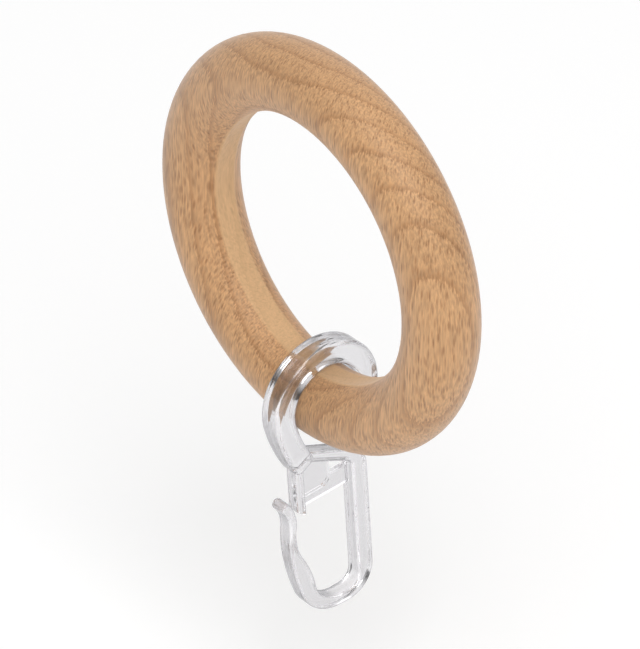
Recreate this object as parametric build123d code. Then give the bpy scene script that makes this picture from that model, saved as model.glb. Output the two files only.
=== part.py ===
from build123d import *
import os
from math import atan, cos, degrees, radians, sin, sqrt, tan

# Curtain ring with hook: a turned beech ring and the clear moulded hook that is clipped over its wood.
# Millimetres. The ring's axis is Y, its centre is the origin, and the hook hangs at the bottom, towards -Z.

# Wooden ring
BORE_DIA = 38.0  # slides with room to spare on a 28 mm pole
WOOD_DIA = 10.2  # round section of the wood
BORE_LAND = 2.8  # flat band that boring leaves on the inside of that section
BORE_EDGE_ROUND = 0.25

# Clip: the C of the hook, round the wood
CLIP_CLEARANCE = 0.25  # all round the wood, so that the hook swings
CLIP_BAR = 3.4  # thickness of the bar, measured out from the wood
CLIP_DEPTH = 3.7
CLIP_EDGE_ROUND = 0.8
CLIP_TIP_ANGLE = -22.0  # from straight across, seen with the tongue on the left
CLIP_TIP_SLANT = 22.0  # leads the clip over the wood
CLIP_TIP_ROUND = 0.6
CLIP_LEG_ANGLE = 192.0  # where the C runs out into the leg
LEG_RADIUS = 25.6  # of the leg's slow bow down to the neck
LEG_TURN = 17.8
LEG_END_ROUND = 0.75

# Loop: the frame below the neck that the tape hangs from
LOOP_DEPTH = 2.5
LOOP_EDGE_ROUND = 0.45
LOOP_HEIGHT = 25.8  # from the neck to the underside
LOOP_WIDTH = 11.95  # from the nose's outer face to the back bar's outer face
BACK_BAR = 2.6
SHOULDER_BAR = 1.75  # at the back bar
SHOULDER_NECK_BAR = 1.5
SHOULDER_SLOPE = 25.3
SHOULDER_RISE = 2.25  # top of the shoulder above the end of the leg
SHOULDER_CORNER = 3.6  # outer radius where the shoulder turns down
HEEL_CORNER = 4.5  # outer radius where the back bar turns in
SOLE_BAR = 1.8
SOLE_FLAT = 1.15  # straight run of the underside, from the heel to the tongue

# Tongue: the sprung strip on the left of the loop
TONGUE_SWEEP_HEIGHT = 4.6  # height of the round stretch that turns it upward
TONGUE_SWEEP_OUT = 0.08  # how far that stretch ends outside the nose
TONGUE_BELLY_OUT = 1.5
TONGUE_PINCH_OUT = 1.6
TONGUE_PINCH_BELOW = 1.0  # below the end of the nose
TONGUE_TIP_OUT = 2.92
TONGUE_TIP_ABOVE = 2.9  # above the end of the nose
TONGUE_SWEEP_BAR = 2.4
TONGUE_BELLY_BAR = 1.95
TONGUE_PINCH_BAR = 1.2
TONGUE_TIP_BAR = 1.5
TONGUE_TIP_ROUND = 0.6

# Nose: the straight stub beside the tongue's tip, tied to the loop by a thin web and a gusset
NOSE_BAR = 1.45
NOSE_DEPTH = 2.0
NOSE_OFFSET = 1.6  # outer face, out from the middle of the leg's end
NOSE_LENGTH = 8.2  # below the neck
NOSE_POINT = 1.2  # height of the slanted end
NOSE_EDGE_ROUND = 0.3
WEB_THICKNESS = 0.8
WEB_LOW = 6.95  # lower edge, below the neck
WEB_HEIGHT = 2.8
GUSSET_THICKNESS = 1.2
GUSSET_WIDTH = 5.9  # from the nose's outer face
GUSSET_LOW = 5.4  # lower edge, below the neck
GUSSET_CORNER = 1.3

# Gate: the small oval scar where the plastic ran into the mould, on the back bar
GATE_WIDTH = 1.0
GATE_HEIGHT = 2.4
GATE_DEPTH = 0.25
GATE_LOW = 14.0  # middle, below the neck

wood_r = WOOD_DIA / 2
wood_ring_r = BORE_DIA / 2 + sqrt(wood_r**2 - (BORE_LAND / 2) ** 2)
clip_inner_r = wood_r + CLIP_CLEARANCE
clip_mid_r = clip_inner_r + CLIP_BAR / 2
leg_centre_r = clip_mid_r - LEG_RADIUS


def wooden_ring():
    """Round section, cut straight where the bore passes, turned about Y."""
    section = Pos(wood_ring_r, 0) * Circle(wood_r)
    inside_bore = Rectangle(BORE_DIA / 2, WOOD_DIA, align=(Align.MIN, Align.CENTER))
    section -= inside_bore
    land_ends = section.vertices().sort_by(Axis.X)[:2]
    section = fillet(land_ends, BORE_EDGE_ROUND)
    return revolve(section, axis=Axis.Y)


def in_hook_plane(face, depth):
    """Extrudes a face drawn across (a) and up (b) to both sides of the hook's middle plane."""
    return extrude(Plane.YZ * face, depth / 2, both=True)


def clip_section(angle):
    """Section of the clip's bar at an angle round the wood, facing along the bar."""
    across = Plane((0, clip_mid_r, 0), x_dir=(0, 1, 0), z_dir=(0, 0, 1))
    return Rot(X=angle) * (across * RectangleRounded(CLIP_BAR, CLIP_DEPTH, CLIP_EDGE_ROUND))


def clip():
    """The C, concentric with the wood, and the leg that runs out of it down to the neck."""
    turn = CLIP_LEG_ANGLE - CLIP_TIP_ANGLE
    bow = revolve(clip_section(CLIP_TIP_ANGLE), axis=Axis.X, revolution_arc=turn)
    tip = Rot(X=CLIP_TIP_ANGLE) * Pos(0, clip_inner_r, 0) * Rot(X=CLIP_TIP_SLANT)
    past_tip = Box(2 * CLIP_DEPTH, 4 * CLIP_BAR, 2 * CLIP_BAR, align=(Align.CENTER, Align.CENTER, Align.MAX))
    bow -= tip * past_tip
    tip_face = min(bow.faces().filter_by(GeomType.PLANE), key=lambda f: -f.center().Y)
    bow = fillet(tip_face.edges(), CLIP_TIP_ROUND)
    leg_axis = Axis((0, leg_centre_r * cos(leg_start), leg_centre_r * sin(leg_start)), (1, 0, 0))
    leg = revolve(clip_section(CLIP_LEG_ANGLE), axis=leg_axis, revolution_arc=LEG_TURN)
    end_face = min(leg.faces().filter_by(GeomType.PLANE), key=lambda f: f.center().Z)
    leg = fillet(end_face.edges(), LEG_END_ROUND)
    return bow + leg


# Places in the hook's plane, a across and b up from the middle of the wood
leg_start = radians(CLIP_LEG_ANGLE)
leg_end = radians(CLIP_LEG_ANGLE + LEG_TURN)
neck = Vector(
    leg_centre_r * cos(leg_start) + LEG_RADIUS * cos(leg_end),
    leg_centre_r * sin(leg_start) + LEG_RADIUS * sin(leg_end),
)
nose_a = neck.X - NOSE_OFFSET
nose_end = neck.Y - NOSE_LENGTH
back_a = nose_a + LOOP_WIDTH
sole_b = neck.Y - LOOP_HEIGHT
fall = tan(radians(SHOULDER_SLOPE))


def shoulder_b(a, below=0.0):
    """Height of the shoulder's top edge at a, or of a line that far below it, square to the slope."""
    return neck.Y + SHOULDER_RISE - fall * (a - neck.X) - below / cos(radians(SHOULDER_SLOPE))


def tangent_run(points, heading):
    """Arcs through the points, each leaving in the direction in which the last one ended."""
    arcs = []
    for start, end in zip(points, points[1:]):
        arcs.append(TangentArc(start, end, tangent=heading))
        heading = arcs[-1] % 1
    return arcs


def loop():
    """Shoulder, back bar and sole in one outline with the tapered tongue."""
    pinch_b = nose_end - TONGUE_PINCH_BELOW
    sweep_b = sole_b + TONGUE_SWEEP_HEIGHT
    outer = [
        Vector(back_a - HEEL_CORNER - SOLE_FLAT, sole_b),
        Vector(nose_a - TONGUE_SWEEP_OUT, sweep_b),
        Vector(nose_a - TONGUE_BELLY_OUT, (sweep_b + pinch_b) / 2),
        Vector(nose_a - TONGUE_PINCH_OUT, pinch_b),
        Vector(nose_a - TONGUE_TIP_OUT, nose_end + TONGUE_TIP_ABOVE),
    ]
    bars = [SOLE_BAR, TONGUE_SWEEP_BAR, TONGUE_BELLY_BAR, TONGUE_PINCH_BAR, TONGUE_TIP_BAR]
    along_sole = Vector(-1, 0)
    outer_arcs = tangent_run(outer, along_sole)
    headings = [along_sole] + [arc % 1 for arc in outer_arcs]
    inner = [p + Vector(h.Y, -h.X) * bar for p, h, bar in zip(outer, headings, bars)]
    inner_arcs = tangent_run(inner, along_sole)
    outer_frame = FilletPolyline(
        (neck.X, shoulder_b(neck.X)),
        (back_a, shoulder_b(back_a)),
        (back_a, sole_b),
        outer[0],
        radius=[SHOULDER_CORNER, HEEL_CORNER],
    )
    back_inner_a = back_a - BACK_BAR
    inner_frame = FilletPolyline(
        (neck.X, shoulder_b(neck.X, SHOULDER_NECK_BAR)),
        (back_inner_a, shoulder_b(back_inner_a, SHOULDER_BAR)),
        (back_inner_a, sole_b + SOLE_BAR),
        inner[0],
        radius=[SHOULDER_CORNER - BACK_BAR, HEEL_CORNER - BACK_BAR],
    )
    start = Line(outer_frame @ 0, inner_frame @ 0)
    tip = Line(outer[-1], inner[-1])
    outline = make_face([start, outer_frame, *outer_arcs, tip, *inner_arcs, inner_frame])
    tip_corners = outline.vertices().sort_by_distance((outer[-1] + inner[-1]) / 2)[:2]
    outline = fillet(tip_corners, TONGUE_TIP_ROUND)
    frame = in_hook_plane(outline, LOOP_DEPTH)
    rims = frame.faces().filter_by(Axis.X).edges()
    return fillet(rims, LOOP_EDGE_ROUND)


def nose():
    """Straight stub under the neck with a slanted end, its point on the inside."""
    inside_a = nose_a + NOSE_BAR
    outline = Polyline(
        (nose_a, neck.Y),
        (inside_a, neck.Y),
        (inside_a, nose_end),
        (nose_a, nose_end + NOSE_POINT),
        close=True,
    )
    stub = in_hook_plane(make_face(outline), NOSE_DEPTH)
    return fillet(stub.edges().filter_by(Axis.Z), NOSE_EDGE_ROUND)


def web():
    """Thin strip in the middle plane from the nose across to the back bar."""
    left_a = nose_a + NOSE_BAR / 2
    right_a = back_a - BACK_BAR / 2
    low_b = neck.Y - WEB_LOW
    outline = Polyline(
        (left_a, low_b),
        (right_a, low_b),
        (right_a, low_b + WEB_HEIGHT),
        (left_a, low_b + WEB_HEIGHT),
        close=True,
    )
    return in_hook_plane(make_face(outline), WEB_THICKNESS)


def gusset():
    """Thicker plate in the corner under the shoulder, which leaves a small window beside the back bar."""
    left_a = nose_a + NOSE_BAR / 2
    right_a = nose_a + GUSSET_WIDTH
    low_b = neck.Y - GUSSET_LOW
    outline = FilletPolyline(
        (left_a, shoulder_b(left_a, SHOULDER_NECK_BAR / 2)),
        (left_a, low_b),
        (right_a, low_b),
        (right_a, shoulder_b(right_a, SHOULDER_NECK_BAR / 2)),
        radius=[0, GUSSET_CORNER],
    )
    top = Line(outline @ 1, outline @ 0)
    return in_hook_plane(make_face([outline, top]), GUSSET_THICKNESS)


def gate():
    """The scar, sunk into the back bar's outer face."""
    on_back = Plane((0, back_a, neck.Y - GATE_LOW), x_dir=(0, 0, 1), z_dir=(0, -1, 0))
    scar = on_back * Ellipse(GATE_HEIGHT / 2, GATE_WIDTH / 2)
    return extrude(scar, GATE_DEPTH, both=True)


def clip_hook():
    """The whole moulding, turned to hang with its weight straight below the wood."""
    hook = clip() + loop() + nose() + web() + gusset() - gate()
    weight = hook.center(CenterOf.MASS)
    hang = degrees(atan(weight.Y / weight.Z))
    return Pos(0, 0, -wood_ring_r) * Rot(X=hang) * hook


os.makedirs("parts", exist_ok=True)
export_step(wooden_ring(), "parts/wooden_ring.step")
export_step(clip_hook(), "parts/clip_hook.step")
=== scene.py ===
import math

import bpy
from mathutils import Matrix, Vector


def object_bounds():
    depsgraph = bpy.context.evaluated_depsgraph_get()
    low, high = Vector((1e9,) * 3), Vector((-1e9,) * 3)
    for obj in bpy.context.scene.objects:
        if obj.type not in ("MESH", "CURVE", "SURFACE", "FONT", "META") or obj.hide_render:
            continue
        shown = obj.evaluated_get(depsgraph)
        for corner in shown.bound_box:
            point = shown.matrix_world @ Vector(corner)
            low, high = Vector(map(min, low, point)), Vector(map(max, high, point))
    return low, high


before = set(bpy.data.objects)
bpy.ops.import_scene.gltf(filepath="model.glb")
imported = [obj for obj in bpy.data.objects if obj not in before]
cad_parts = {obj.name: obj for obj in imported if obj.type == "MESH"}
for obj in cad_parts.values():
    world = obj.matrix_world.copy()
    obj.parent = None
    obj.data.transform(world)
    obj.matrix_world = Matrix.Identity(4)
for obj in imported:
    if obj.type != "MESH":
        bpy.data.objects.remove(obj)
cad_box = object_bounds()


# Wooden ring: one piece of steamed beech from a flat-sawn board, turned round in section and bored straight.
# The fibres run up the ring, along Z, and the growth layers are shells round a pith behind it, towards +Y.
# Sanded fine under a thin silky lacquer, it looks dry, with a faint sheen where the surface turns away.
BEECH = "#c89b6e"  # the even ground between the growth lines
BEECH_LATE = "#98673a"  # the darker late wood that ends each year's layer
BEECH_RAY = "#8a5c34"  # the dark edges of the rays, the thin plates that run out from the pith
BEECH_BARE = "#deb98c"  # the bored band, which has no lacquer
LATE_SHARE = 0.60  # how far late wood, rays and band cover the ground
RAY_SHARE = 0.66
BAND_SHARE = 0.64
MM = 1000.0  # object coordinates are metres, and the sizes from here to RELIEF are millimetres
PITH = (-5.0, 27.0)  # across and along the ring's axis
PITH_AWAY = 33.0  # usual distance of the wood from it
LAYER = 2.6  # one year's growth
LAYER_LEAN = 0.06  # how fast the layers draw in, going up
LAYER_WANDER = 0.8  # how far they stray
LAYER_FEATHER = 1.0  # how far single fibres carry a line along
WANDER_SPACING = (14.0, 14.0, 30.0)
RAY_SPACING = (0.24, 0.75, 1.9)  # round the pith, out from it, and up
FIBRE_SPACING = (0.24, 0.24, 3.2)  # rays and fibres are drawn coarser than real so that they show
TONE_SPACING = 20.0
BORE_RADIUS = 19.0
BAND_EDGE = (0.14, 0.04)  # how far off the bore the band begins, and is whole
RELIEF = 0.08  # depth of the raised grain
# How dark the wood is through one year's growth: share of the year, darkness.
YEAR = ((0.0, 0.22), (0.06, 0.04), (0.50, 0.06), (0.82, 0.24), (0.93, 0.80), (1.0, 0.55))
RAY_CORE = (0.54, 0.20)  # from a ray's edge to its full darkness, in spacings
RAY_DARKNESS = (0.35, 1.0)  # of the faintest ray and of the darkest
RAY_SUNK = 0.7  # against the height of a fibre
TONE_RANGE = (0.25, 0.75)  # from low to high in the noise
TONE_GAIN = (0.94, 1.07)  # what that does to the colour
FIBRE_RANGE = (0.30, 0.70)
FIBRE_GAIN = (0.77, 1.23)
SILKY_ROUGHNESS = (0.46, 0.64)  # lacquer over the hollows and over the ridges of the fibres
BARE_ROUGHNESS = 0.85


def linear(colour):
    """An sRGB hex colour as linear red, green, blue and full cover."""
    parts = [int(colour[i:i + 2], 16) / 255 for i in (1, 3, 5)]
    return [p / 12.92 if p <= 0.04045 else ((p + 0.055) / 1.055) ** 2.4 for p in parts] + [1.0]


def add_node(tree, kind, inputs, **settings):
    """Adds a node with its settings. Each input is a value, or another node's socket to link."""
    node = tree.nodes.new(kind)
    for name, value in settings.items():
        setattr(node, name, value)
    for key, value in inputs.items():
        if isinstance(value, bpy.types.NodeSocket):
            tree.links.new(value, node.inputs[key])
        else:
            node.inputs[key].default_value = value
    return node


def new_material(name):
    """A material with its node tree and its Principled shader."""
    material = bpy.data.materials.new(name)
    material.use_nodes = True
    return material, material.node_tree, material.node_tree.nodes["Principled BSDF"]


# Places on the ring are taken in millimetres, and also from the pith: outward from it, round it and up.
beech, tree, skin = new_material("turned_beech")
place = add_node(tree, "ShaderNodeTexCoord", {}).outputs["Object"]
in_mm = add_node(tree, "ShaderNodeVectorMath", {0: place, "Scale": MM}, operation="SCALE").outputs[0]
from_pith = add_node(
    tree, "ShaderNodeVectorMath", {0: in_mm, 1: (*PITH, 0.0)}, operation="SUBTRACT",
).outputs[0]
axes = add_node(tree, "ShaderNodeSeparateXYZ", {0: from_pith}).outputs
flat = add_node(tree, "ShaderNodeVectorMath", {0: from_pith, 1: (1, 1, 0)}, operation="MULTIPLY").outputs[0]
outward = add_node(tree, "ShaderNodeVectorMath", {0: flat}, operation="LENGTH").outputs["Value"]

# Fibres: fine streaks along Z, lighter and darker.
fibre_space = add_node(
    tree, "ShaderNodeVectorMath", {0: in_mm, 1: FIBRE_SPACING}, operation="DIVIDE",
).outputs[0]
fibres = add_node(
    tree, "ShaderNodeTexNoise", {"Vector": fibre_space, "Scale": 1.0, "Detail": 3.0},
).outputs["Fac"]

# Growth layers: each darkens slowly and ends in a thin dark line, wide where the surface runs along it.
wander_space = add_node(
    tree, "ShaderNodeVectorMath", {0: in_mm, 1: WANDER_SPACING}, operation="DIVIDE",
).outputs[0]
wander = add_node(
    tree, "ShaderNodeTexNoise", {"Vector": wander_space, "Scale": 1.0, "Detail": 2.0},
).outputs["Fac"]
leaning = add_node(
    tree, "ShaderNodeMath", {0: axes["Z"], 1: -LAYER_LEAN, 2: outward}, operation="MULTIPLY_ADD",
).outputs[0]
strayed = add_node(
    tree, "ShaderNodeMath", {0: wander, 1: 2 * LAYER_WANDER, 2: leaning}, operation="MULTIPLY_ADD",
).outputs[0]
feathered = add_node(
    tree, "ShaderNodeMath", {0: fibres, 1: LAYER_FEATHER, 2: strayed}, operation="MULTIPLY_ADD",
).outputs[0]
years = add_node(tree, "ShaderNodeMath", {0: feathered, 1: LAYER}, operation="DIVIDE").outputs[0]
season = add_node(tree, "ShaderNodeMath", {0: years}, operation="FRACT").outputs[0]
late = add_node(tree, "ShaderNodeValToRGB", {"Fac": season})
stops = late.color_ramp.elements
for share, darkness in YEAR[1:-1]:
    stops.new(share)
for stop, (share, darkness) in zip(stops, YEAR):
    stop.color = (darkness, darkness, darkness, 1.0)

# Rays: plates that stand out from the pith. They are dashes on the front, flecks on the sides, lines on top.
round_pith = add_node(tree, "ShaderNodeMath", {0: axes["X"], 1: axes["Y"]}, operation="ARCTAN2").outputs[0]
round_mm = add_node(tree, "ShaderNodeMath", {0: round_pith, 1: PITH_AWAY}, operation="MULTIPLY").outputs[0]
in_plates = add_node(tree, "ShaderNodeCombineXYZ", {0: round_mm, 1: outward, 2: axes["Z"]}).outputs[0]
ray_space = add_node(
    tree, "ShaderNodeVectorMath", {0: in_plates, 1: RAY_SPACING}, operation="DIVIDE",
).outputs[0]
rays = add_node(tree, "ShaderNodeTexVoronoi", {"Vector": ray_space, "Scale": 1.0}).outputs
ray_core = add_node(
    tree, "ShaderNodeMapRange",
    {"Value": rays["Distance"], "From Min": RAY_CORE[0], "From Max": RAY_CORE[1]},
).outputs[0]
ray_pick = add_node(tree, "ShaderNodeSeparateColor", {0: rays["Color"]}).outputs[0]
ray_darkness = add_node(
    tree, "ShaderNodeMapRange", {"Value": ray_pick, "To Min": RAY_DARKNESS[0], "To Max": RAY_DARKNESS[1]},
).outputs[0]
ray_depth = add_node(tree, "ShaderNodeMath", {0: ray_core, 1: ray_darkness}, operation="MULTIPLY").outputs[0]

# Bored band: paler, bare wood up to the bore's radius, smoother cut and without the lacquer.
round_axis = add_node(tree, "ShaderNodeVectorMath", {0: in_mm, 1: (1, 0, 1)}, operation="MULTIPLY").outputs[0]
radius = add_node(tree, "ShaderNodeVectorMath", {0: round_axis}, operation="LENGTH").outputs["Value"]
band = add_node(
    tree, "ShaderNodeMapRange",
    {
        "Value": radius,
        "From Min": BORE_RADIUS + BAND_EDGE[0],
        "From Max": BORE_RADIUS + BAND_EDGE[1],
        "To Max": BAND_SHARE,
    },
).outputs[0]

# Colour: ground, late wood, rays and band, then a broad drift in tone and the fibres, calmer in the band.
late_share = add_node(
    tree, "ShaderNodeMath", {0: late.outputs["Color"], 1: LATE_SHARE}, operation="MULTIPLY",
).outputs[0]
grown = add_node(
    tree, "ShaderNodeMix",
    {"Factor": late_share, "A": linear(BEECH), "B": linear(BEECH_LATE)},
    data_type="RGBA",
).outputs["Result"]
ray_share = add_node(tree, "ShaderNodeMath", {0: ray_depth, 1: RAY_SHARE}, operation="MULTIPLY").outputs[0]
rayed = add_node(
    tree, "ShaderNodeMix", {"Factor": ray_share, "A": grown, "B": linear(BEECH_RAY)}, data_type="RGBA",
).outputs["Result"]
banded = add_node(
    tree, "ShaderNodeMix", {"Factor": band, "A": rayed, "B": linear(BEECH_BARE)}, data_type="RGBA",
).outputs["Result"]
fibre_gain = add_node(
    tree, "ShaderNodeMapRange",
    {
        "Value": fibres,
        "From Min": FIBRE_RANGE[0],
        "From Max": FIBRE_RANGE[1],
        "To Min": FIBRE_GAIN[0],
        "To Max": FIBRE_GAIN[1],
    },
).outputs[0]
calmed = add_node(
    tree, "ShaderNodeMix", {"Factor": band, "A": fibre_gain, "B": 1.0}, data_type="FLOAT",
).outputs["Result"]
tone = add_node(
    tree, "ShaderNodeTexNoise", {"Vector": in_mm, "Scale": 1 / TONE_SPACING, "Detail": 3.0},
).outputs["Fac"]
tone_gain = add_node(
    tree, "ShaderNodeMapRange",
    {
        "Value": tone,
        "From Min": TONE_RANGE[0],
        "From Max": TONE_RANGE[1],
        "To Min": TONE_GAIN[0],
        "To Max": TONE_GAIN[1],
    },
).outputs[0]
gain = add_node(tree, "ShaderNodeMath", {0: tone_gain, 1: calmed}, operation="MULTIPLY").outputs[0]
toned = add_node(tree, "ShaderNodeVectorMath", {0: banded, "Scale": gain}, operation="SCALE").outputs[0]
tree.links.new(toned, skin.inputs["Base Color"])

# Finish: silky lacquer over the raised grain, dull bare wood in the band.
skin.inputs["Sheen Weight"].default_value = 0.30
skin.inputs["Sheen Roughness"].default_value = 0.45
silky = add_node(
    tree, "ShaderNodeMapRange", {"Value": fibres, "To Min": SILKY_ROUGHNESS[0], "To Max": SILKY_ROUGHNESS[1]},
).outputs[0]
dull = add_node(
    tree, "ShaderNodeMix", {"Factor": band, "A": silky, "B": BARE_ROUGHNESS}, data_type="FLOAT",
).outputs["Result"]
tree.links.new(dull, skin.inputs["Roughness"])
raised = add_node(
    tree, "ShaderNodeMath", {0: ray_depth, 1: -RAY_SUNK, 2: fibres}, operation="MULTIPLY_ADD",
).outputs[0]
relief = add_node(
    tree, "ShaderNodeBump", {"Height": raised, "Strength": 0.35, "Distance": RELIEF / MM},
).outputs[0]
tree.links.new(relief, skin.inputs["Normal"])

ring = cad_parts["wooden_ring"]
ring.data.materials.clear()
ring.data.materials.append(beech)


# Clip hook: one moulding of clear polycarbonate, from a polished mould, snapped over the ring's wood.
# The C is a stout bar with rounded edges, and the loop below it thins out to the sprung tongue.
# Bars this thin look nearly colourless, with a cool grey cast and dark lines where light bends at an edge,
# which painted shade at the rims deepens.
CLEAR_FACE = "#fdfcfe"  # looking straight into a bar
PAINTED_RIM_SHADE = "#5c5b62"  # painted shade, where the surface turns away from the view, to draw the edges
CLEAR_CAST = "#d6d5db"  # what the plastic itself leaves of white light
CAST_DENSITY = 7.0  # per metre
RIM_TURN = (0.12, 0.80)  # how far the surface turns away where the painted rim shade begins, and is whole
BOUNCES = 64  # light turns many times inside a clear bar before it comes out again
clear, tree, skin = new_material("clear_polycarbonate")
# Painted shade: the colour greys from CLEAR_FACE to the rim colour as the surface turns away from the view.
turned = add_node(tree, "ShaderNodeLayerWeight", {"Blend": 0.5}).outputs["Facing"]
painted_rim_shade = add_node(
    tree, "ShaderNodeMapRange", {"Value": turned, "From Min": RIM_TURN[0], "From Max": RIM_TURN[1]},
).outputs[0]
rim_shaded = add_node(
    tree, "ShaderNodeMix",
    {"Factor": painted_rim_shade, "A": linear(CLEAR_FACE), "B": linear(PAINTED_RIM_SHADE)},
    data_type="RGBA",
).outputs["Result"]
tree.links.new(rim_shaded, skin.inputs["Base Color"])
skin.inputs["IOR"].default_value = 1.585
skin.inputs["Roughness"].default_value = 0.05
skin.inputs["Transmission Weight"].default_value = 1.0
cast = add_node(
    tree, "ShaderNodeVolumeAbsorption", {"Color": linear(CLEAR_CAST), "Density": CAST_DENSITY},
).outputs[0]
tree.links.new(cast, tree.nodes["Material Output"].inputs["Volume"])

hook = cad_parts["clip_hook"]
hook.data.materials.clear()
hook.data.materials.append(clear)

bpy.context.scene.cycles.max_bounces = BOUNCES
bpy.context.scene.cycles.glossy_bounces = BOUNCES
bpy.context.scene.cycles.transmission_bounces = BOUNCES


# Floor: a plain sheet of matt white paper, laid a little below the hook, which takes the part's soft shadow.
# The light on it stops just short of white, and a faint glow, only where it is looked at, makes up the rest.
PAPER = "#f8f8f8"
FLOOR_DROP = 0.020  # metres, as are the other sizes of the floor and the lamps
FLOOR_REACH = 3.0
FLOOR_GLOW = 0.095


def looked_at(tree, path):
    """A socket that is 1 for what the camera sees, straight, mirrored or through the clear plastic."""
    seen = path["Is Camera Ray"]
    for way in ("Is Glossy Ray", "Is Transmission Ray"):
        seen = add_node(tree, "ShaderNodeMath", {0: seen, 1: path[way]}, operation="MAXIMUM").outputs[0]
    return seen


floor_z = cad_box[0][2] - FLOOR_DROP
bpy.ops.mesh.primitive_plane_add(size=2 * FLOOR_REACH, location=(0, 0, floor_z))
floor = bpy.context.object
floor.name = "floor"
paper, tree, skin = new_material("white_paper")
skin.inputs["Base Color"].default_value = linear(PAPER)
skin.inputs["Roughness"].default_value = 0.9
skin.inputs["Specular IOR Level"].default_value = 0.0
skin.inputs["Emission Color"].default_value = linear("#ffffff")
path = add_node(tree, "ShaderNodeLightPath", {}).outputs
shown = looked_at(tree, path)
glow = add_node(tree, "ShaderNodeMath", {0: shown, 1: FLOOR_GLOW}, operation="MULTIPLY").outputs[0]
tree.links.new(glow, skin.inputs["Emission Strength"])
floor.data.materials.append(paper)


# Light: a pale room all round, one broad soft lamp over the camera, and a weaker one behind the ring.
# The room lights the part evenly. Mirrored or through the plastic it shows grey walls under a white ceiling,
# which draw the clear hook's edges, and to the camera it is white.
ROOM_LIGHT = 0.61
WALL_LIGHT = 0.08
CEILING_LIGHT = 1.0
WALL_HEIGHT = (0.25, 0.70)  # from grey wall to white ceiling, as the upward share of a direction
LAMPS = (  # name, width, watts, and where it stands, turned to the ring's middle
    ("soft_box", 0.6, 3.3, (0.40, -0.26, 0.65)),
    ("fill_box", 0.9, 1.2, (-0.45, 0.55, 0.35)),
)
world = bpy.data.worlds.new("pale_room")
bpy.context.scene.world = world
world.use_nodes = True
tree = world.node_tree
room = tree.nodes["Background"]
room.inputs["Color"].default_value = linear("#ffffff")
path = add_node(tree, "ShaderNodeLightPath", {}).outputs
shown = looked_at(tree, path)
toward = add_node(tree, "ShaderNodeTexCoord", {}).outputs["Generated"]
height = add_node(tree, "ShaderNodeSeparateXYZ", {0: toward}).outputs["Z"]
wall = add_node(
    tree, "ShaderNodeMapRange",
    {
        "Value": height,
        "From Min": WALL_HEIGHT[0],
        "From Max": WALL_HEIGHT[1],
        "To Min": WALL_LIGHT,
        "To Max": CEILING_LIGHT,
    },
).outputs[0]
seen_wall = add_node(
    tree, "ShaderNodeMath", {0: wall, 1: path["Is Camera Ray"]}, operation="MAXIMUM",
).outputs[0]
level = add_node(
    tree, "ShaderNodeMix", {"Factor": shown, "A": ROOM_LIGHT, "B": seen_wall}, data_type="FLOAT",
).outputs["Result"]
tree.links.new(level, room.inputs["Strength"])

for name, width, watts, stand in LAMPS:
    lamp = bpy.data.lights.new(name, "AREA")
    lamp.shape = "DISK"
    lamp.size = width
    lamp.energy = watts
    box = bpy.data.objects.new(name, lamp)
    bpy.context.scene.collection.objects.link(box)
    box.location = stand
    box.rotation_euler = (-box.location).to_track_quat("-Z", "Y").to_euler()


# Camera: a long lens from the photograph's side, well above the ring.
# It is aimed at the middle of the part as it is seen, and the part all but fills the picture's height.
AZIMUTH = math.radians(49.7)
ELEVATION = math.radians(35.0)
DISTANCE = 1.2  # metres
SENSOR = 36.0  # millimetres, as is the lens
FILL = 0.90  # share of the picture's height that the part takes
back = Vector((
    math.sin(AZIMUTH) * math.cos(ELEVATION),
    -math.cos(AZIMUTH) * math.cos(ELEVATION),
    math.sin(ELEVATION),
))
right = Vector((math.cos(AZIMUTH), math.sin(AZIMUTH), 0))
up = back.cross(right)
corners = [v.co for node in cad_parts.values() for v in node.data.vertices]
across = [c.dot(right) for c in corners]
upward = [c.dot(up) for c in corners]
middle = right * (min(across) + max(across)) / 2 + up * (min(upward) + max(upward)) / 2
camera_data = bpy.data.cameras.new("camera")
camera_data.sensor_fit = "VERTICAL"
camera_data.sensor_height = SENSOR
camera_data.lens = SENSOR * DISTANCE * FILL / (max(upward) - min(upward))
camera = bpy.data.objects.new("camera", camera_data)
bpy.context.scene.collection.objects.link(camera)
camera.location = middle + back * DISTANCE
camera.rotation_euler = back.to_track_quat("Z", "Y").to_euler()
bpy.context.scene.camera = camera
bpy.context.scene.view_settings.view_transform = "Standard"
